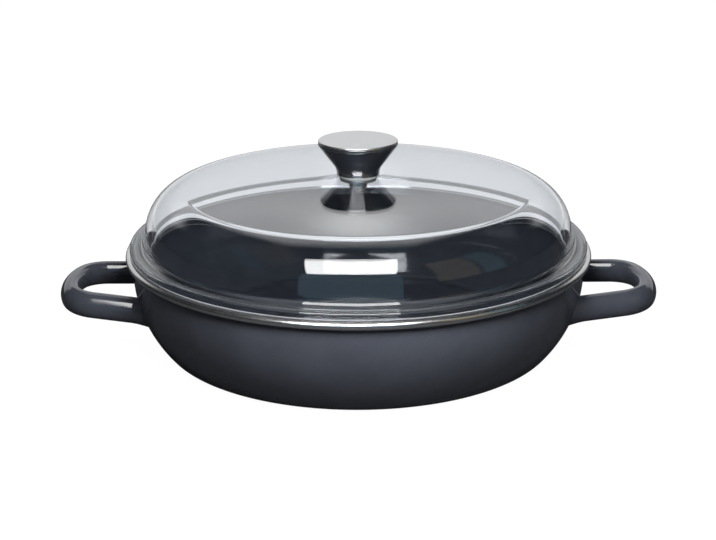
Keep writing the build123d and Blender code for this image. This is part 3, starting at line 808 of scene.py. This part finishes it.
def oval(growth):
    """Oval across a line, for even angles q, the grown half axes a and b and the lean l:
    sideways a cos q cos l + b sin q sin l, and up b sin q cos l - a cos q sin l."""
    q = np.linspace(0, 2 * pi, AROUND, endpoint=False)
    a, b = HALF_WIDTH + growth, HALF_HEIGHT + growth
    sideways = a * np.cos(q) * cos(LEAN) + b * np.sin(q) * sin(LEAN)
    up = b * np.sin(q) * cos(LEAN) - a * np.cos(q) * sin(LEAN)
    return sideways, up


def oval_rings(line):
    """Rings of the bare oval across a flat line: centre + left x sideways, at height up."""
    step = np.gradient(line, axis=0)
    step /= np.linalg.norm(step, axis=1)[:, None]
    left = np.column_stack([-step[:, 1], step[:, 0]])
    sideways, up = oval(np.zeros((len(line), 1)))
    flat = line[:, None, :] + left[:, None, :] * sideways[..., None]
    return np.concatenate([flat, up[..., None]], -1)


def in_the_pan(points):
    """Handle plane to pan: x runs out along the slope, and the plane starts at the wall."""
    x, y, z = np.moveaxis(points, -1, 0)
    return np.stack([root_x + x * cos(SLOPE) - z * sin(SLOPE), y,
                     HANDLE_HEIGHT + x * sin(SLOPE) + z * cos(SLOPE)], -1)


def tube_mesh(name, rings, side, nodes):
    """Closed tube from rings of points, with a flat fan at each end behind a sharp edge."""
    count, around = rings.shape[:2]
    points = rings.reshape(-1, 3) * MM * [side, 1, 1]
    ends = rings[[0, -1]].mean(axis=1) * MM * [side, 1, 1]
    index = np.arange(count * around).reshape(count, around)
    low, high = index[:-1], index[1:]
    quads = np.stack([low, np.roll(low, -1, 1), np.roll(high, -1, 1), high], -1).reshape(-1, 4)
    first = np.stack([np.full(around, index.size), np.roll(index[0], -1), index[0]], -1)
    last = np.stack([index[-1], np.roll(index[-1], -1), np.full(around, index.size + 1)], -1)
    faces = quads.tolist() + first.tolist() + last.tolist()
    if side < 0:
        faces = [face[::-1] for face in faces]
    piece = add_piece(name, np.vstack([points, ends]), faces, enamel, "pan", nodes)
    edges = np.empty(len(piece.data.edges) * 2, dtype=np.int32)
    piece.data.edges.foreach_get("vertices", edges)
    edges = edges.reshape(-1, 2)
    rims = ((edges < around).all(1)) | ((edges >= index[-1][0]) & (edges < index.size)).all(1)
    piece.data.edges.foreach_set("use_edge_sharp", rims)
    piece.data.update()
    return piece


# %% [markdown]
# ## The feet
# Where an arm meets the wall, a welded foot covers the joint. It is the same
# oval, which grows towards the wall. The wall is curved, so the foot's end
# isn't flat: each line of the foot looks for the wall by itself.

# %% Loops and feet
def wall_depth(points):
    """How deep points lie behind the pan's outer face, in mm: positive inside the wall."""
    radius = np.hypot(points[..., 0], points[..., 1])
    from_centre = np.hypot(radius - side_centre[0], points[..., 2] - side_top)
    curved = side_radius - from_centre
    upright = PAN_RADIUS - radius
    return np.where(points[..., 2] > side_top, upright, curved)


FLARE_EVEN_SHARE, FLARE_ONSET = 0.35, 9
BEHIND_WALL, HALVINGS, FOOT_RINGS = 0.8, 30, 28


def foot_growth(distance):
    """Growth of the oval on a foot, at a distance from the wall: none where the tube starts,
    then more and more towards the wall, as a mix of s and s squared."""
    s = np.clip((FOOT_LENGTH - distance) / (FOOT_LENGTH + FOOT_ROOT), 0, 1)
    rise = FLARE_EVEN_SHARE * s + (1 - FLARE_EVEN_SHARE) * s**2
    return FOOT_FLARE * rise * np.clip(s * FLARE_ONSET, 0, 1)


def oval_lines(here, out, hand, distance):
    """Points of the foot's oval, one for each of its angles, each at its own distance out."""
    sideways, up = oval(foot_growth(distance))
    inside = np.array([out[1], -out[0]]) * hand
    flat = here + out * distance[..., None] + inside * sideways[..., None]
    return np.concatenate([flat, up[..., None]], -1)


def foot_rings(hand):
    """Rings of a foot. Each of its lines follows the arm and ends a little behind the wall's
    face, at a place found by halving the distance again and again."""
    here, out = root * [1, hand], way * [1, hand]
    low = np.full(AROUND, -FOOT_ROOT)
    high = np.full(AROUND, FOOT_LENGTH)
    for _ in range(HALVINGS):
        middle = (low + high) / 2
        deep = wall_depth(in_the_pan(oval_lines(here, out, hand, middle))) > BEHIND_WALL
        low, high = np.where(deep, middle, low), np.where(deep, high, middle)
    share = np.linspace(0, 1, FOOT_RINGS)[:, None]
    distances = low + (FOOT_LENGTH - low) * share
    return in_the_pan(oval_lines(here, out, hand, distances))


loop = in_the_pan(oval_rings(tube_line))
for side, word in ((1, "right"), (-1, "left")):
    tube_mesh(word + "_loop", loop, side, [word + "_handle"])
    for hand, end in ((-1, "front"), (1, "back")):
        rings = foot_rings(hand)
        rings = rings if hand < 0 else rings[::-1]
        tube_mesh(f"{word}_{end}_neck", rings, side, [f"{word}_{end}_foot"])
